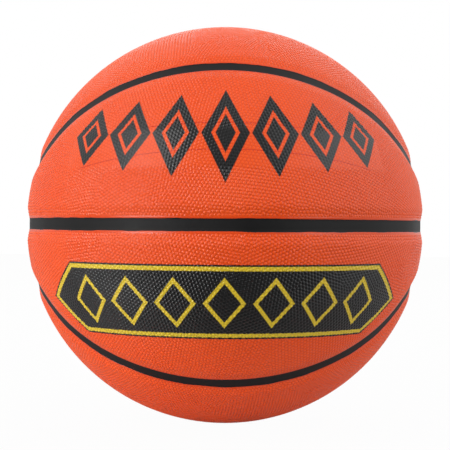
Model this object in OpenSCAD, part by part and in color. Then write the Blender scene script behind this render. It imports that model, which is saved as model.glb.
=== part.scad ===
// Basketball of youth size, in moulded rubber.
// Eight cover panels and nine channel strips lie on a thin carcass, over a wound air bladder.
// The origin is the centre of the ball: X to the right, Y away from the viewer, Z up.
// Each layer is a spherical shell, worked out inwards from the ball's girth.

/* [Ball] */
// Girth of the ball round the crown of its panels
ball_girth = 698.5; // [560:0.5:760]

/* [Wall] */
// Thickness of a cover panel
cover_wall = 1.9; // [1.7:0.1:2.6]
// Thickness of the rubber carcass under the cover
carcass_wall = 0.5; // [0.4:0.1:1]
// Thickness of the layer of wound nylon thread
winding_wall = 0.3; // [0.2:0.1:0.8]
// Thickness of the air bladder
bladder_wall = 0.5; // [0.4:0.1:1]

/* [Channels] */
// Width of a channel between two panels
channel_w = 6; // [4:0.1:8]
// Depth of the channel floor below the crown of the panels
channel_depth = 1.5; // [1.3:0.1:1.6]
// Width of the sloping shoulder along each panel edge
shoulder_w = 6; // [3:0.1:7]
// Drop of the shoulder from the crown to the panel's edge
shoulder_drop = 1.2; // [0.6:0.1:1.2]
// Tilt of a loop's long sides above the equator, in degrees
loop_tilt = 45.4; // [42:0.1:48]
// Lean of the middle of a loop's round end away from the pole, in degrees
loop_end_lean = 44.5; // [41:0.1:45]

/* [Valve] */
// Height of the valve above the equator at the back of the ball, in degrees
valve_elevation = 22; // [16:0.5:28]
// Depth of the valve's face below the crown of the panels
valve_recess = 0.3; // [0.2:0.05:0.6]
// Radius of the smooth flat land that is cut in the panel round the valve
land_r = 6.5; // [6:0.1:8]
// Radius of the housing's neck, where it comes out through the wall
neck_r = 4.5; // [4:0.1:5.4]
// Radius of the housing's barrel inside the ball
barrel_r = 5.5; // [5:0.1:8]
// Thickness of rubber under the plug at the barrel's inner end
barrel_end_wall = 1.5; // [1:0.1:3]
// Radius of the flange that is bonded to the bladder
flange_r = 13; // [10:0.5:18]
// Thickness of the flange
flange_wall = 1; // [0.6:0.1:1.6]
// Radius of the patch that stiffens the bladder round the neck
patch_r = 12; // [8:0.5:16]
// Clearance between the patch and the carcass over it
patch_clearance = 0.1; // [0.05:0.01:0.15]
// Radius of the plug's stem
plug_r = 2.5; // [2:0.1:3]
// Length of the plug
plug_l = 14; // [12.5:0.5:18]
// Radius of the plug's head
plug_head_r = 3.3; // [3.1:0.1:3.8]
// Thickness of the plug's head
plug_head_wall = 1.2; // [0.8:0.1:2]
// Radius of the duct that grips the pump needle
needle_duct_r = 0.95; // [0.9:0.01:1.1]
// Length of the duct
needle_duct_l = 10; // [7:0.5:12]

/* [Hidden] */
// How far a cutter runs past the wall that it cuts
overrun = 1;
// Facets on the large and on the small round surfaces
ball_facets = 180;
small_facets = 48;

ball_r = ball_girth / (2 * PI);
cover_floor_r = ball_r - cover_wall;
strip_top_r = ball_r - channel_depth;
carcass_floor_r = cover_floor_r - carcass_wall;
winding_floor_r = carcass_floor_r - winding_wall;
bladder_floor_r = winding_floor_r - bladder_wall;
reach = ball_r + overrun;

// A loop seam has two long sides, which lie on great circles tilted about the X axis,
// and two round ends, which are circles on the ball that touch both long sides.
// Each end bulges by end_bulge past its long sides, so that their walls cross cleanly.
// The angles are seen from the ball's centre.
end_bulge = 0.4;
end_touch_angle = asin(cos(loop_end_lean) * cos(loop_tilt));
loop_end_angle = end_touch_angle + end_bulge / ball_r * 180 / PI;
loop_side_sweep = 180 - 2 * acos(sin(loop_end_lean) / cos(end_touch_angle));
loop_end_sweep = 2 * acos(tan(end_touch_angle) * tan(loop_end_lean));
// Slope of the plane through the places where an end touches its long sides
loop_end_slope = atan(sin(loop_tilt) / tan(loop_side_sweep / 2));
loop_end_z = strip_top_r * cos(loop_end_lean + loop_end_angle);

valve_face_r = ball_r - valve_recess;
plug_end_r = valve_face_r - plug_l;
barrel_end_r = plug_end_r - barrel_end_wall;

cover_colour = [0.93, 0.38, 0.20];
strip_colour = [0.13, 0.12, 0.12];

// Layers
module shell(outer_r, inner_r) {
    difference() {
        sphere(r = outer_r, $fn = ball_facets);
        sphere(r = inner_r, $fn = ball_facets);
    }
}

// The space between two parallel planes through the ball, a channel's width apart
module channel_slab() {
    translate([-reach, -reach, -channel_w / 2]) cube([2 * reach, 2 * reach, channel_w]);
}

// Seams
// Section of the channel with its two sloping shoulders. Y points out of the ball, X across the seam.
// The shoulder runs straight from the panel's edge up to the crown, and the cutter on past it.
module gap_section() {
    edge_x = channel_w / 2;
    edge_y = sqrt((ball_r - shoulder_drop) ^ 2 - edge_x ^ 2);
    crown_x = edge_x + shoulder_w;
    crown_y = sqrt(ball_r ^ 2 - crown_x ^ 2);
    top_y = ball_r + overrun;
    top_x = edge_x + (top_y - edge_y) * (crown_x - edge_x) / (crown_y - edge_y);
    floor_y = cover_floor_r - overrun;
    polygon([[-edge_x, floor_y], [edge_x, floor_y], [edge_x, edge_y], [top_x, top_y],
        [-top_x, top_y], [-edge_x, edge_y]]);
}

module equator_gap() {
    rotate_extrude($fn = ball_facets) rotate(-90) gap_section();
}

// The front long side of the upper loop
module loop_side_gap(sweep) {
    rotate([-loop_tilt, 0, 0]) rotate([0, 0, 270 - sweep / 2])
        rotate_extrude(angle = sweep, $fn = ball_facets) rotate(-90) gap_section();
}

// One round end of the upper loop, on the right, or on the left after a half turn
module loop_end_gap(half_turn, sweep) {
    rotate([0, 0, half_turn]) rotate([0, loop_end_lean, 0]) rotate([0, 0, -sweep / 2])
        rotate_extrude(angle = sweep, $fn = ball_facets) rotate(-loop_end_angle) gap_section();
}

// The space inside the upper loop, with its edge moved outwards from the seam by a margin.
// It starts clear of the ball's centre, where all its faces would meet.
module loop_field(margin) {
    floor_z = ball_r / 8;
    difference() {
        translate([0, 0, -margin / cos(loop_tilt)]) rotate([90, 0, 90])
            linear_extrude(2 * reach, center = true)
                polygon([[-floor_z / tan(loop_tilt), floor_z], [floor_z / tan(loop_tilt), floor_z],
                    [2 * reach / tan(loop_tilt), 2 * reach], [-2 * reach / tan(loop_tilt), 2 * reach]]);
        for (half_turn = [0, 180]) rotate([0, 0, half_turn]) difference() {
            rotate([0, -loop_end_slope, 0]) translate([ball_r / 4, -reach, -reach])
                cube([2 * reach, 2 * reach, reach]);
            rotate([0, loop_end_lean, 0]) translate([0, 0, -margin / sin(loop_end_angle)])
                cylinder(r1 = 0, r2 = 2 * reach * tan(loop_end_angle), h = 2 * reach, $fn = ball_facets);
        }
    }
}

// Cover panels
// The cover on the front and above the equator, with the channel of the equator cut
module quarter_shell() {
    difference() {
        intersection() {
            shell(ball_r, cover_floor_r);
            translate([-reach, -reach, 0]) cube([2 * reach, reach, reach]);
        }
        equator_gap();
    }
}

module quarter_cover() {
    difference() {
        quarter_shell();
        rotate([90, 0, 0]) equator_gap();
    }
}

// The part of that quarter inside the loop. Its seams are cut one after another.
module cap_between_sides() {
    difference() {
        intersection() {
            quarter_cover();
            loop_field(-channel_w / 2);
        }
        loop_side_gap(360);
    }
}

module cap_before_left_end() {
    difference() {
        cap_between_sides();
        loop_end_gap(0, loop_end_sweep);
    }
}

module cap_panel() {
    color(cover_colour) difference() {
        cap_before_left_end();
        loop_end_gap(180, loop_end_sweep);
    }
}

// The part of that quarter outside the loop
module lens_between_ends() {
    difference() {
        difference() {
            quarter_cover();
            loop_field(channel_w / 2);
        }
        loop_side_gap(loop_side_sweep);
    }
}

module lens_before_left_end() {
    difference() {
        lens_between_ends();
        loop_end_gap(0, 360);
    }
}

module lens_panel() {
    color(cover_colour) difference() {
        lens_before_left_end();
        loop_end_gap(180, 360);
    }
}

module front_top_panel() {
    cap_panel();
}

module front_upper_panel() {
    lens_panel();
}

module front_lower_panel() {
    mirror([0, 0, 1]) lens_panel();
}

module front_bottom_panel() {
    mirror([0, 0, 1]) cap_panel();
}

module back_top_panel() {
    rotate([0, 0, 180]) cap_panel();
}

module back_upper_panel() {
    color(cover_colour) difference() {
        rotate([0, 0, 180]) lens_panel();
        valve_way(neck_r);
        valve_axis() translate([0, 0, valve_face_r]) cylinder(r = land_r, h = reach, $fn = small_facets);
    }
}

module back_lower_panel() {
    rotate([0, 0, 180]) mirror([0, 0, 1]) lens_panel();
}

module back_bottom_panel() {
    rotate([0, 0, 180]) mirror([0, 0, 1]) cap_panel();
}

// Channel strips
module strip_shell() {
    shell(strip_top_r, cover_floor_r);
}

module equator_strip() {
    color(strip_colour) intersection() {
        strip_shell();
        channel_slab();
    }
}

module top_loop_strip() {
    color(strip_colour) difference() {
        intersection() {
            strip_shell();
            loop_field(channel_w / 2);
        }
        loop_field(-channel_w / 2);
    }
}

module bottom_loop_strip() {
    mirror([0, 0, 1]) top_loop_strip();
}

// The meridian strip over the pole, between the two ends of the upper loop
module top_meridian_strip() {
    color(strip_colour) intersection() {
        strip_shell();
        rotate([90, 0, 0]) channel_slab();
        loop_field(-channel_w / 2);
    }
}

module bottom_meridian_strip() {
    mirror([0, 0, 1]) top_meridian_strip();
}

// The short piece of meridian strip from the equator to the end of the upper loop
module right_upper_link_strip() {
    color(strip_colour) difference() {
        intersection() {
            strip_shell();
            rotate([90, 0, 0]) channel_slab();
            translate([0, -reach, channel_w / 2]) cube([reach, 2 * reach, loop_end_z]);
        }
        loop_field(channel_w / 2);
    }
}

module right_lower_link_strip() {
    mirror([0, 0, 1]) right_upper_link_strip();
}

module left_upper_link_strip() {
    mirror([1, 0, 0]) right_upper_link_strip();
}

module left_lower_link_strip() {
    mirror([1, 0, 0]) right_lower_link_strip();
}

// Inner layers
// Everything of the valve is drawn along an axis from the ball's centre.
module valve_axis() {
    rotate([valve_elevation - 90, 0, 0]) children();
}

// The round way through the wall for the valve
module valve_way(way_r) {
    valve_axis() translate([0, 0, barrel_end_r])
        cylinder(r = way_r, h = reach - barrel_end_r, $fn = small_facets);
}

module carcass() {
    color([0.35, 0.33, 0.31]) difference() {
        shell(cover_floor_r, carcass_floor_r);
        valve_way(neck_r);
    }
}

module thread_winding() {
    color([0.86, 0.84, 0.76]) difference() {
        shell(carcass_floor_r, winding_floor_r);
        valve_way(patch_r);
    }
}

module bladder() {
    color([0.10, 0.10, 0.11]) difference() {
        shell(winding_floor_r, bladder_floor_r);
        valve_way(neck_r);
    }
}

// Valve
module valve_patch() {
    color([0.30, 0.27, 0.24]) difference() {
        intersection() {
            shell(carcass_floor_r - patch_clearance, winding_floor_r);
            valve_way(patch_r);
        }
        valve_way(neck_r);
    }
}

// Flange, neck and barrel in one moulding, with a stepped socket for the plug
module valve_housing() {
    color([0.16, 0.15, 0.15]) difference() {
        union() {
            intersection() {
                shell(bladder_floor_r, bladder_floor_r - flange_wall);
                valve_way(flange_r);
            }
            valve_axis() translate([0, 0, barrel_end_r])
                cylinder(r = barrel_r, h = bladder_floor_r - flange_wall / 2 - barrel_end_r, $fn = small_facets);
            valve_axis() translate([0, 0, barrel_end_r])
                cylinder(r = neck_r, h = valve_face_r - barrel_end_r, $fn = small_facets);
        }
        valve_axis() translate([0, 0, plug_end_r])
            cylinder(r = plug_r, h = plug_l + overrun, $fn = small_facets);
        valve_axis() translate([0, 0, valve_face_r - plug_head_wall])
            cylinder(r = plug_head_r, h = plug_head_wall + overrun, $fn = small_facets);
    }
}

module valve_plug() {
    color([0.08, 0.08, 0.08]) valve_axis() difference() {
        union() {
            translate([0, 0, plug_end_r]) cylinder(r = plug_r, h = plug_l, $fn = small_facets);
            translate([0, 0, valve_face_r - plug_head_wall])
                cylinder(r = plug_head_r, h = plug_head_wall, $fn = small_facets);
        }
        translate([0, 0, valve_face_r - needle_duct_l])
            cylinder(r = needle_duct_r, h = needle_duct_l + overrun, $fn = small_facets);
    }
}

front_top_panel();
front_upper_panel();
front_lower_panel();
front_bottom_panel();
back_top_panel();
back_upper_panel();
back_lower_panel();
back_bottom_panel();
equator_strip();
top_loop_strip();
bottom_loop_strip();
top_meridian_strip();
bottom_meridian_strip();
right_upper_link_strip();
right_lower_link_strip();
left_upper_link_strip();
left_lower_link_strip();
carcass();
thread_winding();
bladder();
valve_patch();
valve_housing();
valve_plug();
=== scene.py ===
import math

import bmesh
import bpy
import numpy as np
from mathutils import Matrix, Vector, geometry, kdtree


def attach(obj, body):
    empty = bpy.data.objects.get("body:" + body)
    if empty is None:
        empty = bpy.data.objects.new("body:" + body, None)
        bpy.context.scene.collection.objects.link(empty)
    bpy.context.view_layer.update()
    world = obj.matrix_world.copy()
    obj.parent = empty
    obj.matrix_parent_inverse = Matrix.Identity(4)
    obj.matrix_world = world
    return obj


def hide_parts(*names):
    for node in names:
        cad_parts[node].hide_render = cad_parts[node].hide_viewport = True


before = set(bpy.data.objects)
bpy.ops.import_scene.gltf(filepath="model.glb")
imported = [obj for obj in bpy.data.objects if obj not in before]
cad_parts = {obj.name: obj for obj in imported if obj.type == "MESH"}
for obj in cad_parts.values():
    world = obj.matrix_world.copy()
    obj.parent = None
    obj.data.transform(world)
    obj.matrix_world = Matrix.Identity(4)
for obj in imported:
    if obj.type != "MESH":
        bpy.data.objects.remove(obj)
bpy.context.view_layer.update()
print("frame loaded")

# Sizes are in millimetres until a mesh is made. The pole is +Z, the photographed side is -Y.
mm = 0.001
ball = {
    "girth": 698.5,
    "channelWidth": 6.0,
    "channelDepth": 1.5,
    "coverWall": 1.9,
    "loopTilt": 45.4,  # degrees above the equator
    "loopEndLean": 44.5,  # degrees from the pole
}
radius = ball["girth"] / (2 * math.pi)
carcassTop = radius - ball["coverWall"]
halfChannel = ball["channelWidth"] / 2
rightWay = np.array([1.0, 0.0, 0.0])
frontWay = np.array([0.0, -1.0, 0.0])
upWay = np.array([0.0, 0.0, 1.0])
mirrorX = np.array([-1.0, 1.0, 1.0])
tiny = 1e-9

# The loop channel: a leaning plane cuts each long side, a circle about endCentre makes each end
tilt = math.radians(ball["loopTilt"])
lean = math.radians(ball["loopEndLean"])
sideNormal = np.array([0.0, math.sin(tilt), math.cos(tilt)])
sideFront = np.array([0.0, -math.cos(tilt), math.sin(tilt)])
endCentre = np.array([math.sin(lean), 0.0, math.cos(lean)])
endOut = np.array([math.cos(lean), 0.0, -math.sin(lean)])
endRadius = math.asin(float(sideNormal @ endCentre))
touch = endCentre - sideNormal * float(sideNormal @ endCentre)
touch = touch / np.linalg.norm(touch)
touchTurn = math.atan2(float(frontWay @ touch), float(endOut @ touch))
touchReach = math.acos(float(touch[0]))
endWedge = np.cross(sideNormal, endCentre)
endWedge = endWedge / np.linalg.norm(endWedge)


# Directions and distances on the ball
def unit(vectors):
    return vectors / np.linalg.norm(vectors, axis=-1, keepdims=True)


def smoothStep(low, high, value):
    t = np.clip((value - low) / (high - low), 0, 1)
    return t * t * (3 - 2 * t)


def smoothLeast(values, softness):
    # the least of several distances, eased where two of them meet
    least = values[0]
    for other in values[1:]:
        h = np.clip(0.5 + 0.5 * (other - least) / softness, 0, 1)
        least = other * (1 - h) + least * h - softness * h * (1 - h)
    return least


def arcFrom(cosine):
    # the distance along the surface that a share of the radius stands for
    return radius * np.arcsin(np.clip(cosine, -1, 1))


def inSurface(direction, points):
    return unit(direction - points * np.sum(direction * points, 1, keepdims=True))


def tangentFrame(centre):
    side = unit(np.cross(upWay, centre)[None])[0]
    return side, np.cross(centre, side)


def ontoBall(flat, centre):
    # equal-area projection, so that the points are as dense everywhere
    side, up = tangentFrame(centre)
    length = np.linalg.norm(flat, axis=1)
    turn = 2 * np.arcsin(np.clip(length / (2 * radius), 0, 1))
    way = flat / np.maximum(length, tiny)[:, None]
    return (centre[None] * np.cos(turn)[:, None]
            + np.sin(turn)[:, None] * (side[None] * way[:, :1] + up[None] * way[:, 1:]))


def stereographic(points, centre):
    side, up = tangentFrame(centre)
    scale = 2 * radius / (1 + points @ centre)
    return np.stack([points @ side * scale, points @ up * scale], 1)


def hexLattice(reach, pitch):
    i, j = np.meshgrid(np.arange(-reach, reach), np.arange(-reach, reach))
    return np.stack([(i + 0.5 * (j % 2)).ravel() * pitch,
                     (j * math.sqrt(3) / 2).ravel() * pitch], 1)


# The seams. Each panel is made in the front upper quarter and then mirrored.
def rightHalf(points):
    # the points mirrored to the right, and which of them lie by the loop's round end
    right = points.copy()
    right[:, 0] = np.abs(right[:, 0])
    return right, right @ endWedge > 0


def loopInside(points):
    # the distance inside the loop's middle line
    right, byEnd = rightHalf(points)
    around = radius * (endRadius - np.arccos(np.clip(right @ endCentre, -1, 1)))
    return np.where(byEnd, around, arcFrom(right @ sideNormal))


def loopPull(points):
    # the direction in the surface that leads into the loop
    byEnd = rightHalf(points)[1]
    sign = np.where(points[:, 0] < 0, -1.0, 1.0)
    pull = np.where(byEnd[:, None], endCentre, sideNormal)
    pull = pull * np.stack([sign, np.ones_like(sign), np.ones_like(sign)], 1)
    return inSurface(pull, points)


def meridianDistance(points):
    return arcFrom(-points[:, 1]) - halfChannel


def equatorDistance(points):
    return arcFrom(points[:, 2]) - halfChannel


def valveDistance(points):
    return radius * np.arccos(np.clip(points @ valveAxis, -1, 1)) - valve["landEdge"]


def edgeRules(kind, withValve):
    # each rule gives a distance from one edge of the panel and the way that leads off it
    rules = [(meridianDistance, lambda p: inSurface(frontWay, p))]
    if kind["inLoop"]:
        rules.append((lambda p: loopInside(p) - halfChannel, loopPull))
    else:
        rules.append((lambda p: -loopInside(p) - halfChannel, lambda p: -loopPull(p)))
        rules.append((equatorDistance, lambda p: inSurface(upWay, p)))
    if withValve:
        rules.append((valveDistance, lambda p: inSurface(-valveAxis, p)))
    return rules


def leastDistance(rules, points):
    return np.min([measure(points) for measure, lead in rules], 0)


def loopArc(shift, off, counts):
    # the front half of the loop from the right end to the left, moved outwards by shift
    endStep, sideStep = counts
    r = endRadius + shift / radius
    start = math.asin(math.sin(off / radius) / math.sin(r))
    turn = np.linspace(start, touchTurn, endStep, endpoint=False)[:, None]
    spread = endOut * np.cos(turn) + frontWay * np.sin(turn)
    right = endCentre * math.cos(r) + math.sin(r) * spread
    sweep = np.linspace(touchReach, math.pi - touchReach, sideStep)[:, None]
    side = rightWay * np.cos(sweep) + sideFront * np.sin(sweep)
    side = side * math.cos(shift / radius) - sideNormal * math.sin(shift / radius)
    return np.vstack([right, side, right[::-1] * mirrorX])


def edgeLine(kind, distance):
    # a panel's outline at a distance from its edge, anticlockwise from outside, with even counts
    off = halfChannel + distance
    shift = -off if kind["inLoop"] else off
    arc = loopArc(shift, off, kind["loopCounts"])
    flatY = -math.sin(off / radius)
    reach = math.cos(off / radius)
    high = math.atan2(arc[-1, 0], arc[-1, 2])

    def alongMeridian(theta):
        return np.stack([reach * np.sin(theta), np.full_like(theta, flatY),
                         reach * np.cos(theta)], 1)

    if kind["inLoop"]:
        over = alongMeridian(np.linspace(high, -high, kind["meridianCount"] + 2)[1:-1])
        return np.vstack([arc, over])[::-1]
    low = math.acos(math.tan(off / radius))
    leftLink = alongMeridian(np.linspace(high, -low, kind["linkCount"] + 1)[1:-1])
    begin = math.asin(math.tan(off / radius))
    alpha = np.linspace(math.pi - begin, begin, kind["equatorCount"])
    equator = np.stack([reach * np.cos(alpha), -reach * np.sin(alpha),
                        np.full_like(alpha, math.sin(off / radius))], 1)
    return np.vstack([arc, leftLink, equator, leftLink[::-1] * mirrorX])


def ringRound(axis, ringRadius, count):
    side = unit(np.cross(axis, rightWay)[None])[0]
    other = np.cross(axis, side)
    turn = np.linspace(0, 2 * math.pi, count, endpoint=False)[:, None]
    r = ringRadius / radius
    return axis * math.cos(r) + math.sin(r) * (side * np.cos(turn) + other * np.sin(turn))


# Depth of the pebble tops below the crown, by distance from the panel's edge
shoulder = {
    "distance": [0.0, 0.12, 0.4, 0.8, 1.07, 1.66, 2.0, 3.0, 4.0, 5.0, 5.9],
    "depth": [1.46, 1.36, 1.28, 1.22, 1.15, 0.95, 0.82, 0.61, 0.39, 0.18, 0.0],
    "blend": 0.9,  # where two edges meet
    "rows": [0.4, 0.12, 0.0],  # round the edge, outside the border of the pebbles
    "foot": -0.4,  # stands for a distance, and keeps the wall's foot painted
}
pebble = {
    "pitch": 1.83,
    "height": 0.43,
    "rings": [(0.42, 0.82), (0.76, 0.30)],  # shares of the way to the cell's corner, of the height
    "border": 0.8,
    "nearest": 1.68,  # from the panel's edge to the middle of a pebble
    "grown": (0.75, 1.9),  # the height rises from none to full between these distances
    "least": 0.86,  # the lowest pebble's share of the height
    "cellTone": (0.3, 0.7),
    "grains": 26,  # areas of the panel, each with straight rows of its own
    "jitter": 0.10,
    "lattice": 1.5,  # reach of the rows, in spans of the panel
}
settling = {
    "steps": 56,
    "relink": 8,  # steps between two searches for neighbours
    "neighbours": 8,
    "reach": 1.22,  # pitches within which two pebbles push each other away
    "push": 0.16,
    "overlap": 0.55,  # by how much a pebble may first lie too near the edge
}
# The mould is smoother here: arc lengths from the front and the equator, height as a share
smoothPatch = {"across": 92.0, "low": 26.0, "high": 48.5, "ease": 2.5, "height": 0.45}
valve = {
    "elevation": 22.0,  # degrees above the equator
    "recess": 0.3,
    "landEdge": 6.5,
    "border": 0.5,
    "ease": 0.6,  # the pebbles grow this much sooner than at the panel's edge
    "hole": 4.52,
    "chamfer": 0.12,
    "ringCount": 44,
    "near": 4.0,  # the land's distance and pebble share, as its material reads them
    "share": 0.35,
}
valveTilt = math.radians(valve["elevation"])
valveAxis = np.array([0.0, -math.cos(valveTilt), math.sin(valveTilt)])
innerFace = {
    "pitch": 8.0,
    "extent": 180.0,
    "limit": 0.95,  # share of the farthest that the flat points may lie from the middle
    "margin": 2.5,  # from the panel's edge
    "near": 5.0,
}
plainTone = 0.5
uvLayout = {  # start and size in the square
    "outer": ([0.005, 0.005], [0.99, 0.86]),
    "inner": ([0.01, 0.89], [0.2, 0.09]),
}
cap = {"inLoop": True, "loopCounts": (60, 110), "meridianCount": 210,
       "centre": unit(np.array([[0.0, -0.40, 0.92]]))[0], "span": (125, 62)}
lens = {"inLoop": False, "loopCounts": (84, 110), "linkCount": 27, "equatorCount": 345,
        "centre": unit(np.array([[0.0, -0.93, 0.37]]))[0], "span": (165, 75)}


def scatterPebbles(kind, rules, random):
    # rows of pebbles that turn from grain to grain
    span = np.array(kind["span"])
    pitch = pebble["pitch"]
    spots = np.stack([random.uniform(-span[0], span[0], pebble["grains"]),
                      random.uniform(-span[1], span[1], pebble["grains"])], 1)
    angles = random.uniform(0, math.pi / 3, pebble["grains"])
    lattice = hexLattice(int(max(span) * pebble["lattice"] / pitch), pitch)
    kept = []
    for g in range(pebble["grains"]):
        c, s = math.cos(angles[g]), math.sin(angles[g])
        turned = lattice @ np.array([[c, s], [-s, c]]) + spots[g]
        gap = np.linalg.norm(turned[:, None, :] - spots[None], axis=2)
        kept.append(turned[np.argmin(gap, 1) == g])
    flat = np.vstack(kept)
    flat = flat + random.normal(0, pebble["jitter"], flat.shape)
    flat = flat[np.all(np.abs(flat) < span, 1)]
    points = ontoBall(flat, kind["centre"])
    return points[leastDistance(rules, points) > pebble["nearest"] - settling["overlap"]]


def neighboursOf(points):
    tree = kdtree.KDTree(len(points))
    for k, p in enumerate(points * radius):
        tree.insert(p, k)
    tree.balance()
    count = settling["neighbours"] + 1
    return np.array([[hit[1] for hit in tree.find_n(p, count)] for p in points * radius])


def settlePebbles(points, rules):
    # the pebbles push each other apart and keep off the edges
    reach = pebble["pitch"] * settling["reach"]
    touching = 1e-6
    for step in range(settling["steps"]):
        if step % settling["relink"] == 0:
            near = neighboursOf(points)
        gap = (points[:, None, :] - points[near]) * radius
        distance = np.linalg.norm(gap, axis=2)
        push = np.where((distance > touching) & (distance < reach), (reach - distance), 0)
        away = gap / np.maximum(distance, touching)[:, :, None]
        move = np.sum(away * push[:, :, None], 1) * settling["push"]
        points = unit(points + move / radius)
        for measure, lead in rules:
            short = np.clip(pebble["nearest"] - measure(points), 0, None)
            points = unit(points + lead(points) * (short / radius)[:, None])
    return points


def innerPoints(kind, rules):
    lattice = hexLattice(int(innerFace["extent"] / innerFace["pitch"]), innerFace["pitch"])
    flat = lattice[np.linalg.norm(lattice, axis=1) < 2 * radius * innerFace["limit"]]
    points = ontoBall(flat, kind["centre"])
    return points[leastDistance(rules, points) > innerFace["margin"]]


def loopsOf(lines, start):
    # where each closed line starts in a list of points, and its count
    loops = []
    for line in lines:
        loops.append((start, len(line)))
        start += len(line)
    return loops


def triangulate(points, loops, centre):
    # fills the first loop and leaves the others open
    flat = stereographic(points, centre)
    edges = []
    for start, count in loops:
        edges += [(start + k, start + (k + 1) % count) for k in range(count)]
    insideOnly, closest = 1, 1e-6
    result = geometry.delaunay_2d_cdt([Vector(p) for p in flat], edges, [], insideOnly, closest)
    source = np.array([ids[0] for ids in result[3]])
    triangles = source[np.array(result[2])]
    for start, count in loops[1:]:
        inHole = np.all((triangles >= start) & (triangles < start + count), 1)
        triangles = triangles[~inHole]
    a, b, c = (flat[triangles[:, k]] for k in range(3))
    ahead, across = b - a, c - a
    turnSign = ahead[:, 0] * across[:, 1] - ahead[:, 1] * across[:, 0]
    triangles[turnSign < 0] = triangles[turnSign < 0][:, ::-1]
    return triangles[np.abs(turnSign) > tiny]


def pebbleFaces(triangles, siteCount, total):
    # corners of every face as vertex indices: sites first, then cell corners, then two rings
    m = len(triangles)
    start = triangles.ravel()
    end = triangles[:, [1, 2, 0]].ravel()
    key = start.astype(np.int64) * total + end
    back = end.astype(np.int64) * total + start
    order = np.argsort(key)
    spot = np.clip(np.searchsorted(key[order], back), 0, len(key) - 1)
    twin = np.where(key[order][spot] == back, order[spot], -1)
    edge = np.arange(3 * m)
    cell = total + edge // 3
    inner = twin >= 0
    twinSafe = np.where(inner, twin, 0)
    there = twinSafe // 3
    cellThere = total + there
    ringOne = total + m + edge
    ringTwo = ringOne + 3 * m
    ringOneThere = total + m + there * 3 + (twinSafe % 3 + 1) % 3
    ringTwoThere = ringOneThere + 3 * m
    p = (start < siteCount) & inner  # round a pebble
    tops = np.stack([start[p], ringOneThere[p], ringOne[p]], 1)
    slopes = np.stack([ringOneThere[p], ringTwoThere[p], ringTwo[p], ringOne[p]], 1)
    feet = np.stack([ringTwoThere[p], cellThere[p], cell[p], ringTwo[p]], 1)
    e = (start >= siteCount) & inner  # round a point of the border
    flats = np.stack([start[e], cellThere[e], cell[e]], 1)
    b = ~inner  # along the border
    rims = np.stack([start[b], end[b], cell[b]], 1)
    return [tops, flats, rims], [slopes, feet]


def bandFaces(rows):
    # quads between closed rows of the same count, the inner row on the left of the walk
    return [np.stack([outer, np.roll(outer, -1), np.roll(inner, -1), inner], 1)
            for inner, outer in zip(rows, rows[1:])]


class Shell:
    # the points of a panel, each with its distance from the edge, pebble share and tone
    def __init__(self):
        self.columns = [[], [], [], []]
        self.count = 0

    def add(self, points, near, share=0.0, tone=plainTone):
        self.columns[0].append(points)
        for column, values in zip(self.columns[1:], (near, share, tone)):
            column.append(np.full(len(points), values, float))
        self.count += len(points)
        return np.arange(self.count - len(points), self.count)

    def joined(self):
        return [np.concatenate(column) for column in self.columns]


def patchShare(points):
    across = radius * np.abs(np.arctan2(points[:, 0], -points[:, 1]))
    up = arcFrom(points[:, 2])
    inside = np.minimum(np.minimum(up - smoothPatch["low"], smoothPatch["high"] - up),
                        smoothPatch["across"] - across)
    return smoothStep(0, smoothPatch["ease"], inside)


def crownDepth(near):
    return np.interp(near, shoulder["distance"], shoulder["depth"])


def addPebbles(shell, base, triangles, siteCount, rules, random, withPrint):
    # the base points, the cells' corners and two rings round each pebble
    total, m = len(base), len(triangles)
    siteTone = random.uniform(0, 1, total)
    siteScale = random.uniform(pebble["least"], 1.0, total)
    cells = unit(base[triangles].mean(1))
    corner = triangles.ravel()
    toCell = np.repeat(cells, 3, 0)
    rings = [unit(base[corner] * (1 - way) + toCell * way) for way, height in pebble["rings"]]
    points = np.vstack([base, cells] + rings)
    near = smoothLeast([measure(points) for measure, lead in rules[:3]], shoulder["blend"])
    free = near
    if len(rules) > 3:  # the fourth is the valve's
        free = np.minimum(near, valveDistance(points) - valve["border"] + valve["ease"])
    bump = pebble["height"] * smoothStep(*pebble["grown"], free)
    if withPrint:
        bump = bump * (1 - (1 - smoothPatch["height"]) * patchShare(points))
    scale = np.concatenate([siteScale, np.ones(m), siteScale[corner], siteScale[corner]])
    share = np.concatenate([np.ones(total), np.zeros(m)]
                           + [np.full(3 * m, height) for way, height in pebble["rings"]])
    share[siteCount:total] = 0
    tops = radius - crownDepth(near) - bump * (1 - share * scale)
    cellTone = random.uniform(*pebble["cellTone"], m)
    tone = np.concatenate([siteTone, cellTone, siteTone[corner], siteTone[corner]])
    shell.add(points * tops[:, None], near, share, tone)


def addWall(shell, kind, border):
    # the rounded edge and the wall down to the carcass
    rows = [border]
    for distance in shoulder["rows"]:
        rise = radius - crownDepth(distance)
        rows.append(shell.add(edgeLine(kind, distance) * rise, distance))
    rows.append(shell.add(edgeLine(kind, 0.0) * carcassTop, shoulder["foot"]))
    return rows


def addValveLand(shell, rim):
    # the flat land round the valve and its bore down to the carcass
    face = radius - valve["recess"]
    outer, hole = valve["landEdge"], valve["hole"]
    lip = hole + valve["chamfer"]
    rows = [rim[::-1]]
    for reach, rise in ((outer, face / math.cos(outer / radius)),
                        (lip, face / math.cos(lip / radius)),
                        (hole, face - valve["chamfer"]),
                        (hole, carcassTop)):
        line = ringRound(valveAxis, reach, valve["ringCount"])[::-1]
        rows.append(shell.add(line * rise, valve["near"], valve["share"]))
    return rows


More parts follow.
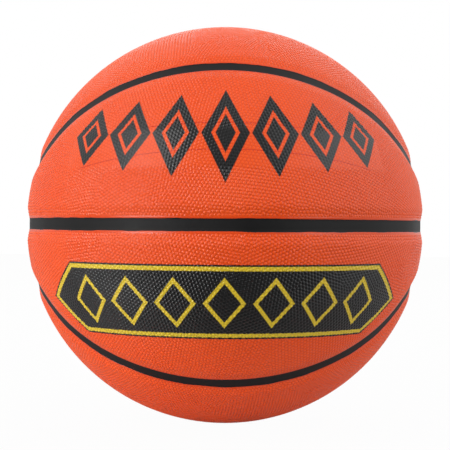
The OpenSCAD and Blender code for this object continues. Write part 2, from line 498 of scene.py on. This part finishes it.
def coverPanel(name, kind, turns, seed, withValve=False, withPrint=False):
    random = np.random.default_rng(seed)
    rules = edgeRules(kind, withValve)
    sites = settlePebbles(scatterPebbles(kind, rules, random), rules)
    lines = [edgeLine(kind, pebble["border"])]
    if withValve:
        lines.append(ringRound(valveAxis, valve["landEdge"] + valve["border"], valve["ringCount"]))
    base = np.vstack([sites] + lines)
    loops = loopsOf(lines, len(sites))
    triangles = triangulate(base, loops, kind["centre"])
    tri, quad = pebbleFaces(triangles, len(sites), len(base))
    shell = Shell()
    addPebbles(shell, base, triangles, len(sites), rules, random, withPrint)

    borders = [np.arange(start, start + count) for start, count in loops]
    walls = [addWall(shell, kind, borders[0])]
    footLines = [edgeLine(kind, 0.0)]
    if withValve:
        walls.append(addValveLand(shell, borders[1]))
        footLines.append(ringRound(valveAxis, valve["hole"], valve["ringCount"])[::-1])
    for rows in walls:
        quad += bandFaces(rows)

    # the plain inner face
    coarse = innerPoints(kind, rules)
    index = np.concatenate([rows[-1] for rows in walls]
                           + [shell.add(coarse * carcassTop, innerFace["near"])])
    innerTriangles = triangulate(np.vstack(footLines + [coarse]), loopsOf(footLines, 0),
                                 kind["centre"])
    tri.append(index[innerTriangles][:, ::-1])

    points, near, share, tone = shell.joined()
    tri, quad = np.vstack(tri), np.vstack(quad)
    if np.prod(turns) < 0:
        tri, quad = tri[:, ::-1], quad[:, ::-1]
    outerUv, innerUv = panelUv(points, kind)
    corners = np.concatenate([tri.ravel(), quad.ravel()])
    isInner = np.zeros(len(corners), bool)
    isInner[tri.size - innerTriangles.size:tri.size] = True
    uv = np.where(isInner[:, None], innerUv[corners], outerUv[corners])
    attributes = {"edgeDistance": near, "pebbleHeight": share, "pebbleTone": tone}
    return meshFrom(name, points * np.array(turns, float), tri, quad, attributes, uv), len(sites)


def panelUv(points, kind):
    # the outer face fills most of the square, the inner face a small corner of it
    centre = kind["centre"]
    side, up = tangentFrame(centre)
    directions = unit(points)
    turn = np.arccos(np.clip(directions @ centre, -1, 1))
    flat = np.stack([directions @ side, directions @ up], 1)
    length = np.maximum(np.linalg.norm(flat, axis=1), tiny)
    flat = flat / length[:, None] * (2 * np.sin(turn / 2))[:, None]
    low, high = flat.min(0), flat.max(0)
    flat = (flat - low) / (high - low)
    return [np.array(start) + flat * size for start, size in uvLayout.values()]


def meshFrom(name, points, triangles, quads, attributes=None, uv=None, sharp=None):
    # uv has one row for each corner of a face
    mesh = bpy.data.meshes.new(name)
    corners = np.concatenate([triangles.ravel(), quads.ravel()]).astype(np.int32)
    totals = np.concatenate([np.full(len(triangles), 3), np.full(len(quads), 4)]).astype(np.int32)
    starts = np.concatenate([[0], np.cumsum(totals)[:-1]]).astype(np.int32)
    mesh.vertices.add(len(points))
    mesh.vertices.foreach_set("co", (points * mm).astype(np.float32).ravel())
    mesh.loops.add(len(corners))
    mesh.loops.foreach_set("vertex_index", corners)
    mesh.polygons.add(len(totals))
    mesh.polygons.foreach_set("loop_start", starts)
    mesh.polygons.foreach_set("loop_total", totals)
    mesh.polygons.foreach_set("use_smooth", np.ones(len(totals), bool))
    mesh.update(calc_edges=True)
    for label, values in (attributes or {}).items():
        layer = mesh.attributes.new(label, "FLOAT", "POINT")
        layer.data.foreach_set("value", values.astype(np.float32))
    if uv is not None:
        layer = mesh.uv_layers.new(name="OFBake")
        layer.data.foreach_set("uv", uv.astype(np.float32).ravel())
    if sharp is not None:
        mesh.set_sharp_from_angle(angle=math.radians(sharp))
    mesh.validate()
    return mesh


def placed(name, mesh, material, node):
    piece = bpy.data.objects.new(name, mesh)
    bpy.context.scene.collection.objects.link(piece)
    mesh.materials.append(material)
    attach(piece, "root")
    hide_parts(node)


# Shader node helpers
def freshMaterial(name):
    material = bpy.data.materials.new(name)
    material.use_nodes = True
    tree = material.node_tree
    tree.nodes.clear()
    out = tree.nodes.new("ShaderNodeOutputMaterial")
    shader = tree.nodes.new("ShaderNodeBsdfPrincipled")
    tree.links.new(shader.outputs[0], out.inputs[0])
    return material, tree, shader


def addNode(tree, kind, inputs=None, **settings):
    node = tree.nodes.new(kind)
    for key, value in settings.items():
        setattr(node, key, value)
    for key, value in (inputs or {}).items():
        if isinstance(value, bpy.types.NodeSocket):
            tree.links.new(value, node.inputs[key])
        else:
            node.inputs[key].default_value = value
    return node


def maths(tree, operation, *values):
    return addNode(tree, "ShaderNodeMath", dict(enumerate(values)), operation=operation).outputs[0]


def blendColour(tree, share, first, second):
    inputs = {0: share, 6: first, 7: second}
    return addNode(tree, "ShaderNodeMix", inputs, data_type="RGBA").outputs[2]


def mapRange(tree, value, low, high, toLow=0.0, toHigh=1.0, smooth=False):
    inputs = {0: value, 1: low, 2: high, 3: toLow, 4: toHigh}
    return addNode(tree, "ShaderNodeMapRange", inputs,
                   interpolation_type="SMOOTHSTEP" if smooth else "LINEAR").outputs[0]


def attributeValue(tree, name):
    return addNode(tree, "ShaderNodeAttribute", attribute_name=name).outputs["Fac"]


def objectPlace(tree):
    return addNode(tree, "ShaderNodeTexCoord").outputs["Object"]


def bumpOn(tree, shader, height, strength, distance):
    inputs = {"Height": height, "Strength": strength, "Distance": distance}
    tree.links.new(addNode(tree, "ShaderNodeBump", inputs).outputs[0], shader.inputs["Normal"])


skin = {
    "grainDetail": 3.0,
    "mottleDetail": 4.0,
    "dust": {"Scale": 16.0, "Detail": 6.0, "Roughness": 0.65},
    "dustRange": (0.45, 0.75),
}


def rubberGroup():
    # fine skin of moulded rubber: a height for bump, a mottle and a film of dust
    group = bpy.data.node_groups.new("rubberSkin", "ShaderNodeTree")
    for label in ("Grain per metre", "Mottle per metre"):
        group.interface.new_socket(label, in_out="INPUT", socket_type="NodeSocketFloat")
    for label in ("Height", "Mottle", "Dust"):
        group.interface.new_socket(label, in_out="OUTPUT", socket_type="NodeSocketFloat")
    scales = group.nodes.new("NodeGroupInput").outputs
    results = group.nodes.new("NodeGroupOutput").inputs
    place = objectPlace(group)
    noises = [addNode(group, "ShaderNodeTexNoise", {"Vector": place, **settings}).outputs[0]
              for settings in ({"Scale": scales[0], "Detail": skin["grainDetail"]},
                               {"Scale": scales[1], "Detail": skin["mottleDetail"]},
                               skin["dust"])]
    group.links.new(noises[0], results[0])
    group.links.new(noises[1], results[1])
    group.links.new(mapRange(group, noises[2], *skin["dustRange"], smooth=True), results[2])
    return group


skinGroup = rubberGroup()


def skinOn(tree, grain, mottle):
    return addNode(tree, "ShaderNodeGroup", {0: grain, 1: mottle}, node_tree=skinGroup).outputs


cover = {
    "orange": (0.92, 0.089, 0.007, 1),
    # The darker orange below is painted shade, low between the pebbles and on the mould's hairlines
    "shadeOrange": (0.66, 0.034, 0.002, 1),
    "light": (0.97, 0.108, 0.012, 1),
    "paint": (0.009, 0.0085, 0.009, 1),
    "grain": 2600.0,  # per metre
    "mottle": 30.0,
    "mottleRange": (0.3, 0.7),
    "pebbleTone": 0.22,  # share of light orange on the palest pebbles
    "valleyShade": (0.0, 0.7, 0.5, 0.0),  # pebble shares, then the shares of darker orange there: painted shade low between the pebbles
    "roughness": 0.28,
    "roughnessMottle": (-0.05, 0.07),
    "specular": 0.40,
    "bump": (0.25, 0.00012),  # strength, metres
}
# The channel's paint runs a little over the panels' edges, in a wavy line
paintLine = {"scale": 60.0, "detail": 3.0, "wave": 1.8, "edge": (0.02, 0.12)}
# Plain ornament: a chain of diamonds above the equator, a long band with diamonds below it
ink = {
    "black": (0.003, 0.0028, 0.003, 1),
    "gold": (0.76, 0.55, 0.024, 1),
    "roughness": 0.30,
    "varnish": 0.28,
    "varnishRoughness": 0.14,
    "soft": 0.15,  # half width of a printed edge
    "chainHeight": 44.5,  # above the equator, along the surface
    "chainPitch": 26.0,
    "chainCount": 7,
    "chainRise": (26.0, 15.0),  # half height in the middle and at the ends
    "chainRing": (0.40, 0.56),
    "chainEdge": 0.96,
    "bandHeight": -37.5,
    "bandHalf": (108.0, 19.0),
    "bandPoint": 22.0,
    "bandKey": 0.9,
    "bandGold": 3.0,
    "bandPitch": 25.0,
    "bandCount": 7,
    "bandDiamond": 15.0,
    "bandRing": (0.66, 0.86),
}
# Two darker hairlines on the upper panel, highest in the middle: painted shade of creases that the
# mould left, which the mesh does not have
mouldLine = {"heights": (50.1, 35.9), "fall": 0.0013, "half": 0.24, "soft": 0.12,
             "reach": 80.0, "endSoft": 0.5}


def printCoordinates(tree):
    # arc lengths on the ball in millimetres, across from the front and up from the equator
    flat = addNode(tree, "ShaderNodeVectorMath", {0: objectPlace(tree)}, operation="NORMALIZE")
    x, y, z = addNode(tree, "ShaderNodeSeparateXYZ", {0: flat.outputs[0]}).outputs
    turn = maths(tree, "ARCTAN2", x, maths(tree, "MULTIPLY", y, -1.0))
    across = maths(tree, "MULTIPLY", turn, radius)
    return across, maths(tree, "MULTIPLY", maths(tree, "ARCSINE", z), radius)


def distanceTo(tree, value, place):
    return maths(tree, "ABSOLUTE", maths(tree, "SUBTRACT", value, place))


def diamondRow(tree, across, up, pitch, rise):
    # 0 in the middle of each diamond of a row, 1 on its outline
    cell = maths(tree, "FRACT", maths(tree, "MULTIPLY_ADD", across, 1 / pitch, 0.5))
    height = maths(tree, "DIVIDE", maths(tree, "ABSOLUTE", up), rise)
    return maths(tree, "MULTIPLY_ADD", distanceTo(tree, cell, 0.5), 2.0, height)


def below(tree, value, limit, softness=0.02):
    return mapRange(tree, value, limit - softness, limit + softness, 1.0, 0.0)


def between(tree, value, low, high, softness=0.02):
    return maths(tree, "SUBTRACT", below(tree, value, high, softness),
                 below(tree, value, low, softness))


# painted shade: the mould's creases are drawn as darker orange lines
def mouldCreaseShade(tree, base, across, height):
    square = maths(tree, "MULTIPLY", across, across)
    level = maths(tree, "MULTIPLY_ADD", square, mouldLine["fall"], height)
    gaps = [distanceTo(tree, level, line) for line in mouldLine["heights"]]
    mask = below(tree, maths(tree, "MINIMUM", *gaps), mouldLine["half"], mouldLine["soft"])
    far = maths(tree, "ABSOLUTE", across)
    reach = below(tree, far, mouldLine["reach"], mouldLine["endSoft"])
    return blendColour(tree, maths(tree, "MULTIPLY", mask, reach), base, cover["shadeOrange"])


def chainPrint(tree, base):
    across, height = printCoordinates(tree)
    base = mouldCreaseShade(tree, base, across, height)
    up = maths(tree, "SUBTRACT", height, ink["chainHeight"])
    reach = ink["chainPitch"] * ink["chainCount"] / 2
    far = maths(tree, "ABSOLUTE", across)
    rise = mapRange(tree, far, 0.0, reach, *ink["chainRise"])
    measure = diamondRow(tree, across, up, ink["chainPitch"], rise)
    mask = maths(tree, "SUBTRACT", below(tree, measure, ink["chainEdge"]),
                 between(tree, measure, *ink["chainRing"]))
    mask = maths(tree, "MULTIPLY", mask, below(tree, far, reach, ink["soft"]))
    return blendColour(tree, mask, base, ink["black"]), mask


def bandPrint(tree, base):
    across, height = printCoordinates(tree)
    up = distanceTo(tree, height, ink["bandHeight"])
    far = maths(tree, "ABSOLUTE", across)
    halfLong, halfHigh = ink["bandHalf"]
    slope = math.hypot(ink["bandPoint"], halfHigh)
    ends = maths(tree, "MULTIPLY_ADD", maths(tree, "SUBTRACT", far, halfLong), halfHigh / slope,
                 maths(tree, "MULTIPLY", up, ink["bandPoint"] / slope))
    outline = maths(tree, "MAXIMUM", maths(tree, "SUBTRACT", up, halfHigh), ends)
    mask = below(tree, outline, 0.0, ink["soft"])
    gold = between(tree, outline, -ink["bandGold"], -ink["bandKey"], ink["soft"])
    measure = diamondRow(tree, across, up, ink["bandPitch"], ink["bandDiamond"])
    reach = ink["bandPitch"] * ink["bandCount"] / 2
    ring = maths(tree, "MULTIPLY", between(tree, measure, *ink["bandRing"]),
                 below(tree, far, reach, ink["soft"]))
    colour = blendColour(tree, maths(tree, "MAXIMUM", gold, ring), ink["black"], ink["gold"])
    return blendColour(tree, mask, base, colour), mask


def coverMaterial(name, addPrint=None):
    material, tree, shader = freshMaterial(name)
    height, mottle = skinOn(tree, cover["grain"], cover["mottle"])[:2]
    mottled = mapRange(tree, mottle, *cover["mottleRange"])
    base = blendColour(tree, mottled, cover["orange"], cover["light"])
    tone = maths(tree, "MULTIPLY", attributeValue(tree, "pebbleTone"), cover["pebbleTone"])
    base = blendColour(tree, tone, base, cover["light"])
    # painted shade: the lower a point lies between the pebbles, the darker its orange
    valleyShade = mapRange(tree, attributeValue(tree, "pebbleHeight"), *cover["valleyShade"])
    base = blendColour(tree, valleyShade, base, cover["shadeOrange"])
    spread = [cover["roughness"] + change for change in cover["roughnessMottle"]]
    rough = mapRange(tree, mottle, *cover["mottleRange"], *spread)
    if addPrint:
        base, mask = addPrint(tree, base)
        rough = maths(tree, "MULTIPLY_ADD", mask, ink["roughness"] - cover["roughness"], rough)
        coat = maths(tree, "MULTIPLY", mask, ink["varnish"])
        tree.links.new(coat, shader.inputs["Coat Weight"])
        shader.inputs["Coat Roughness"].default_value = ink["varnishRoughness"]
    wobble = addNode(tree, "ShaderNodeTexNoise", {
        "Vector": objectPlace(tree), "Scale": paintLine["scale"], "Detail": paintLine["detail"]})
    wave = maths(tree, "MULTIPLY_ADD", wobble.outputs[0], paintLine["wave"], -paintLine["wave"] / 2)
    edge = maths(tree, "ADD", attributeValue(tree, "edgeDistance"), wave)
    paint = mapRange(tree, edge, *paintLine["edge"], 1.0, 0.0, smooth=True)
    tree.links.new(blendColour(tree, paint, base, cover["paint"]), shader.inputs["Base Color"])
    tree.links.new(rough, shader.inputs["Roughness"])
    shader.inputs["Specular IOR Level"].default_value = cover["specular"]
    bumpOn(tree, shader, height, *cover["bump"])
    return material


darkSkin = {
    "grain": 2600.0,  # per metre
    "mottle": 60.0,
    "colourRange": (0.35, 0.7),
    "roughRange": (0.3, 0.7),
    "roughSpread": 0.06,
    "dust": 0.25,
    "dustColour": 2.0,  # times the paler colour
    "specular": 0.5,
    "bump": (0.3, 0.0001),
}


def darkRubber(name, dark, pale, roughness, specular=darkSkin["specular"]):
    material, tree, shader = freshMaterial(name)
    height, mottle, dust = skinOn(tree, darkSkin["grain"], darkSkin["mottle"])
    colour = blendColour(tree, mapRange(tree, mottle, *darkSkin["colourRange"]),
                         (*dark, 1), (*pale, 1))
    dusty = (*(darkSkin["dustColour"] * part for part in pale), 1)
    colour = blendColour(tree, maths(tree, "MULTIPLY", dust, darkSkin["dust"]), colour, dusty)
    rough = mapRange(tree, mottle, *darkSkin["roughRange"], roughness - darkSkin["roughSpread"],
                     roughness + darkSkin["roughSpread"])
    tree.links.new(colour, shader.inputs["Base Color"])
    tree.links.new(rough, shader.inputs["Roughness"])
    shader.inputs["Specular IOR Level"].default_value = specular
    bumpOn(tree, shader, height, *darkSkin["bump"])
    return material


thread = {
    "turns": ((0.3, 0.5, 0.0), (1.4, 0.2, 0.9), (2.2, 1.1, 1.7)),  # the ways that it is wound
    "wave": {"Scale": 420.0, "Distortion": 1.2, "Detail": 2.0},
    "gaps": (0.42, 0.38, 0.28, 1),
    "nylon": (0.80, 0.77, 0.66, 1),
    "roughness": 0.7,
    "bump": (0.6, 0.0003),
}


def threadMaterial():
    material, tree, shader = freshMaterial("woundNylon")
    place = objectPlace(tree)
    weave = None
    for turn in thread["turns"]:
        turned = addNode(tree, "ShaderNodeMapping", {"Vector": place, "Rotation": turn})
        wave = addNode(tree, "ShaderNodeTexWave", {"Vector": turned.outputs[0], **thread["wave"]},
                       wave_type="BANDS").outputs[1]
        weave = maths(tree, "MAXIMUM", weave, wave) if weave else wave
    colour = blendColour(tree, weave, thread["gaps"], thread["nylon"])
    tree.links.new(colour, shader.inputs["Base Color"])
    shader.inputs["Roughness"].default_value = thread["roughness"]
    bumpOn(tree, shader, weave, *thread["bump"])
    return material


coverPlain = coverMaterial("pebbledOrangeRubber")
printed = {
    "front_upper_panel": coverMaterial("orangeRubberWithDiamondChain", chainPrint),
    "front_lower_panel": coverMaterial("orangeRubberWithGoldBand", bandPrint),
}
channelBlack = darkRubber("channelRubber", (0.0042, 0.0040, 0.0042), (0.009, 0.0086, 0.0088),
                          0.55, specular=0.24)
print("materials ready")

for name, kind, turns, seed, node in (
        ("panel_front_top", cap, (1, 1, 1), 11, "front_top_panel"),
        ("panel_front_upper", lens, (1, 1, 1), 12, "front_upper_panel"),
        ("panel_front_lower", lens, (1, 1, -1), 13, "front_lower_panel"),
        ("panel_front_bottom", cap, (1, 1, -1), 14, "front_bottom_panel"),
        ("panel_back_top", cap, (1, -1, 1), 15, "back_top_panel"),
        ("panel_back_upper", lens, (1, -1, 1), 16, "back_upper_panel"),
        ("panel_back_lower", lens, (1, -1, -1), 17, "back_lower_panel"),
        ("panel_back_bottom", cap, (1, -1, -1), 18, "back_bottom_panel")):
    mesh, pebbles = coverPanel(name, kind, turns, seed, withValve=node == "back_upper_panel",
                               withPrint=node == "front_upper_panel")
    placed(name, mesh, printed.get(node, coverPlain), node)
    print(name, "has", pebbles, "pebbles and", len(mesh.polygons), "faces")


# Channel strips: smooth bands laid on the carcass
strip = {
    "across": [-1.0, -0.92, -0.5, 0.0, 0.5, 0.92, 1.0],  # shares of the half width
    "lift": [0.05, 0.0, 0.0, 0.0, 0.0, 0.0, 0.05],  # of the closed strips' edges
    "sharp": 40,  # degrees
    "equatorCount": 480,
    "linkDensity": 80,  # rows in one radian
    "linkLeast": 12,
}


def fixNormals(mesh):
    shape = bmesh.new()
    shape.from_mesh(mesh)
    bmesh.ops.recalc_face_normals(shape, faces=shape.faces)
    shape.to_mesh(mesh)
    shape.free()


def sweptStrip(name, centres, sideWays, closed, node):
    # centres and sideWays are unit vectors along the seam and across it
    def row(share, height):
        shift = share * halfChannel / radius
        return (centres * math.cos(shift) + sideWays * math.sin(shift)) * height

    top = radius - ball["channelDepth"]
    rows = [row(share, top + (lift if closed else 0.0))
            for share, lift in zip(strip["across"], strip["lift"])]
    rows += [row(1.0, carcassTop), row(-1.0, carcassTop)]
    n, k = len(centres), len(rows)
    here = np.arange(n if closed else n - 1)
    ahead = (here + 1) % n
    quads = []
    for r in range(k):
        above = (r + 1) % k * n
        quads.append(np.stack([r * n + here, r * n + ahead, above + ahead, above + here], 1))
    ends = np.zeros((0, 3), int)
    if not closed:
        fan = np.array([[0, step, step + 1] for step in range(1, k - 1)]) * n
        ends = np.vstack([fan, fan[:, ::-1] + n - 1])
    mesh = meshFrom(name, np.vstack(rows), ends, np.vstack(quads), sharp=strip["sharp"])
    placed(name, mesh, channelBlack, node)
    fixNormals(mesh)


def wholeLoop(sign):
    half = loopArc(0.0, 0.0, lens["loopCounts"])[:-1]
    back = half * np.array([-1.0, -1.0, 1.0])
    line = np.vstack([half, back]) * np.array([1.0, 1.0, sign])
    ahead = unit(np.roll(line, -1, 0) - np.roll(line, 1, 0))
    return line, unit(np.cross(line, ahead))


around = np.linspace(0, 2 * math.pi, strip["equatorCount"], endpoint=False)
equatorLine = np.stack([np.cos(around), np.sin(around), np.zeros_like(around)], 1)
sweptStrip("strip_equator", equatorLine, upWay, True, "equator_strip")
for name, sign, node in (("strip_top_loop", 1.0, "top_loop_strip"),
                         ("strip_bottom_loop", -1.0, "bottom_loop_strip")):
    sweptStrip(name, *wholeLoop(sign), True, node)

loopTip = lean + endRadius
stripReach = halfChannel / radius
poleReach = loopTip - stripReach
linkStart = loopTip + stripReach
linkEnd = math.pi / 2 - stripReach
for name, low, high, sign, node in (
        ("strip_top_meridian", -poleReach, poleReach, 1, "top_meridian_strip"),
        ("strip_bottom_meridian", -poleReach, poleReach, -1, "bottom_meridian_strip"),
        ("strip_right_upper_link", linkStart, linkEnd, 1, "right_upper_link_strip"),
        ("strip_right_lower_link", linkStart, linkEnd, -1, "right_lower_link_strip"),
        ("strip_left_upper_link", -linkEnd, -linkStart, 1, "left_upper_link_strip"),
        ("strip_left_lower_link", -linkEnd, -linkStart, -1, "left_lower_link_strip")):
    steps = max(strip["linkLeast"], int((high - low) * strip["linkDensity"]))
    theta = np.linspace(low, high, steps)
    line = np.stack([np.sin(theta), np.zeros_like(theta), sign * np.cos(theta)], 1)
    sweptStrip(name, line, -frontWay, False, node)
print("strips laid")

# The inner pieces keep their solids from the frame and get materials
for node, material in {
        "carcass": darkRubber("carcassRubber", (0.09, 0.08, 0.075), (0.13, 0.12, 0.11), 0.7),
        "thread_winding": threadMaterial(),
        "bladder": darkRubber("bladderRubber", (0.010, 0.010, 0.011), (0.018, 0.018, 0.02), 0.42),
        "valve_patch": darkRubber("patchRubber", (0.06, 0.05, 0.045), (0.09, 0.08, 0.07), 0.75),
        "valve_housing": darkRubber("valveRubber", (0.016, 0.015, 0.015), (0.026, 0.025, 0.025),
                                    0.5),
        "valve_plug": darkRubber("plugRubber", (0.010, 0.010, 0.010), (0.018, 0.018, 0.018), 0.45),
}.items():
    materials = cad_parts[node].data.materials
    materials.clear()
    materials.append(material)

# Stage, lights and camera
stage = {
    "size": 3.0,  # metres, half the floor's side
    "darkening": (-0.20, -0.13),  # between these places in front the floor turns dark, painted shade that stands in for a dark studio in front
    "grey": (0.06, 0.52),
    "roughness": 0.9,
    "glow": 0.97,  # share of plain white that the camera sees
}
lamps = {  # place and size in metres, power in watts
    "leftHighBox": ((-0.76, -0.70, 0.78), (0.5, 0.6), 3.5),
    "leftBox": ((-0.91, -0.92, 0.0), (0.5, 0.5), 8.2),
    "leftLowBox": ((-0.125, -0.150, -0.096), (0.06, 0.04), 0.019),
    "rightHighBox": ((0.99, -0.44, 0.70), (0.9, 0.9), 2.1),
    "rightBox": ((0.98, -0.86, 0.0), (0.5, 0.5), 2.4),
    "backTopBox": ((0.0, 0.98, 0.85), (1.2, 0.8), 4.3),
    "underBox": ((0.0, 0.0, -0.1106), (0.25, 0.25), 0.015),
}
# A white studio: strength of the light from the plus and the minus side of each axis
studio = {"X": (0.98, 0.69), "Y": (0.33, 0.0), "Z": (0.47, 0.0)}
view = {"distance": 5.0, "roll": -0.42, "lens": 77.66, "sensor": 36}  # distance in ball radii


def makeFloor():
    size = stage["size"]
    mesh = bpy.data.meshes.new("studioFloor")
    corners = [(-size, -size), (size, -size), (size, size), (-size, size)]
    mesh.from_pydata([(x, y, -radius * mm) for x, y in corners], [], [(0, 1, 2, 3)])
    floor = bpy.data.objects.new("studioFloor", mesh)
    bpy.context.scene.collection.objects.link(floor)
    material, tree, shader = freshMaterial("paleFloor")
    position = addNode(tree, "ShaderNodeNewGeometry").outputs["Position"]
    y = addNode(tree, "ShaderNodeSeparateXYZ", {0: position}).outputs["Y"]
    # painted shade: the floor is dark in front of the ball and pale behind it
    grey = mapRange(tree, y, *stage["darkening"], *stage["grey"])
    tree.links.new(grey, shader.inputs["Base Color"])
    shader.inputs["Roughness"].default_value = stage["roughness"]
    glow = addNode(tree, "ShaderNodeEmission", {"Color": (1, 1, 1, 1), "Strength": 1.0})
    seen = addNode(tree, "ShaderNodeLightPath").outputs["Is Camera Ray"]
    share = maths(tree, "MULTIPLY", seen, stage["glow"])
    mixer = addNode(tree, "ShaderNodeMixShader",
                    {0: share, 1: shader.outputs[0], 2: glow.outputs[0]})
    tree.links.new(mixer.outputs[0], tree.nodes["Material Output"].inputs[0])
    mesh.materials.append(material)


def softLight(name, place, size, power):
    data = bpy.data.lights.new(name, "AREA")
    data.shape = "RECTANGLE"
    data.size, data.size_y = size
    data.energy = power
    lamp = bpy.data.objects.new(name, data)
    bpy.context.scene.collection.objects.link(lamp)
    lamp.visible_camera = False
    lamp.location = place
    lamp.rotation_euler = (-Vector(place)).to_track_quat("-Z", "Y").to_euler()


def makeWorld():
    world = bpy.data.worlds.new("whiteStudio")
    bpy.context.scene.world = world
    world.use_nodes = True
    sky = world.node_tree
    generated = addNode(sky, "ShaderNodeTexCoord").outputs["Generated"]
    away = addNode(sky, "ShaderNodeSeparateXYZ", {0: generated}).outputs
    strength = 0.0
    for axis, shares in studio.items():
        for side, share in zip((1.0, -1.0), shares):
            part = maths(sky, "MAXIMUM", maths(sky, "MULTIPLY", away[axis], side), 0.0)
            strength = maths(sky, "MULTIPLY_ADD", part, share, strength)
    around = addNode(sky, "ShaderNodeBackground", {0: (1, 1, 1, 1), 1: strength})
    backdrop = addNode(sky, "ShaderNodeBackground", {0: (1, 1, 1, 1), 1: 1.0})
    seen = addNode(sky, "ShaderNodeLightPath").outputs["Is Camera Ray"]
    choose = addNode(sky, "ShaderNodeMixShader",
                     {0: seen, 1: around.outputs[0], 2: backdrop.outputs[0]})
    sky.links.new(choose.outputs[0], sky.nodes["World Output"].inputs[0])


def makeCamera():
    data = bpy.data.cameras.new("camera")
    data.sensor_width = view["sensor"]
    data.lens = view["lens"]
    camera = bpy.data.objects.new("camera", data)
    bpy.context.scene.collection.objects.link(camera)
    camera.location = (0, -view["distance"] * radius * mm, 0)
    camera.rotation_euler = (math.pi / 2, math.radians(view["roll"]), 0)
    bpy.context.scene.camera = camera


makeFloor()
for name, settings in lamps.items():
    softLight(name, *settings)
makeWorld()
bpy.context.scene.view_settings.view_transform = "Standard"
makeCamera()
print("stage set")
